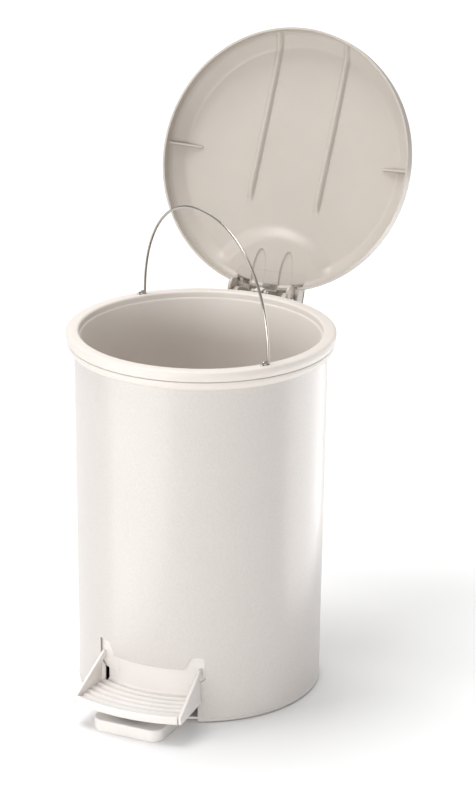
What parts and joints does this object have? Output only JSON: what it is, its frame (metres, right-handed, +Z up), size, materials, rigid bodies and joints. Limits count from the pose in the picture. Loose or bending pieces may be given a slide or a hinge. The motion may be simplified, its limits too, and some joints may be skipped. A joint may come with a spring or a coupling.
{
  "type": "pedal trash can",
  "caption": "Round pedal bin with a hinged dished lid, coated steel shell, lift-out bucket with wire bail, ribbed foot pedal and a front foot tongue.",
  "frame": {"origin": "on the floor, under the middle of the base", "axes": "+Z up, front with the pedal towards -Y, lid hinge at the back towards +Y, +X to the right seen from the front"},
  "size_m": [0.204, 0.3258, 0.4665],
  "materials": {
    "coated_steel": "fine-textured satin powder coat",
    "white_plastic": "moulded, soft gloss",
    "grey_plastic": "moulded, satin",
    "bright_steel": "bright drawn wire",
    "zinc_steel": "zinc plated"
  },
  "bodies": {
    "bin_body": {"body_shell": "coated_steel", "top_collar": "white_plastic", "base_tray": "white_plastic", "base_screw_1": "zinc_steel", "base_screw_2": "zinc_steel", "base_screw_3": "zinc_steel", "lever_pivot_pin": "zinc_steel", "pivot_clip_left": "zinc_steel", "pivot_clip_right": "zinc_steel", "rod_guide": "grey_plastic", "guide_rivet": "zinc_steel", "hinge_bracket": "white_plastic", "hinge_rivet_1": "zinc_steel", "hinge_rivet_2": "zinc_steel", "hinge_rivet_3": "zinc_steel", "hinge_rivet_4": "zinc_steel", "hinge_pin_left": "zinc_steel", "hinge_pin_right": "zinc_steel", "hinge_washer_left": "zinc_steel", "hinge_washer_right": "zinc_steel"},
    "lid": {"lid": "white_plastic", "crank_pin": "zinc_steel"},
    "pedal_lever": {"pedal": "white_plastic", "pedal_screw_1": "zinc_steel", "pedal_screw_2": "zinc_steel", "lever_arm": "zinc_steel"},
    "lift_rod": {"lift_rod": "bright_steel", "rod_washer": "zinc_steel", "rod_fork": "grey_plastic"},
    "bucket": {"bucket": "grey_plastic"},
    "bail": {"bail_handle": "bright_steel"}
  },
  "joints": [
    {"name": "lid_hinge", "type": "hinge", "parent": "bin_body", "child": "lid", "pos_m": [0, 0.108, 0.2698], "axis": [1, 0, 0], "range_deg": [0, 110]},
    {"name": "pedal_pivot", "type": "hinge", "parent": "bin_body", "child": "pedal_lever", "pos_m": [0, -0.008, 0.02], "axis": [1, 0, 0], "range_deg": [-6, 0]},
    {"name": "rod_slide", "type": "slide", "parent": "bin_body", "child": "lift_rod", "axis": [0, 0, 1], "range_m": [-0.0092, 0]},
    {"name": "bucket_lift", "type": "slide", "parent": "bin_body", "child": "bucket", "axis": [0, 0, 1], "range_m": [0, 0.28]},
    {"name": "bail_fold", "type": "hinge", "parent": "bucket", "child": "bail", "pos_m": [0, 0, 0.2762], "axis": [0.809, -0.5878, 0], "range_deg": [0, 90]}
  ],
  "couplings": [
    {"joint": "pedal_pivot", "follows": "lid_hinge", "ratio": -0.0544},
    {"joint": "rod_slide", "follows": "lid_hinge", "m_per_rad": -0.004779},
    {"joint": "bail_fold", "follows": "lid_hinge", "ratio": 0.81818}
  ]
}
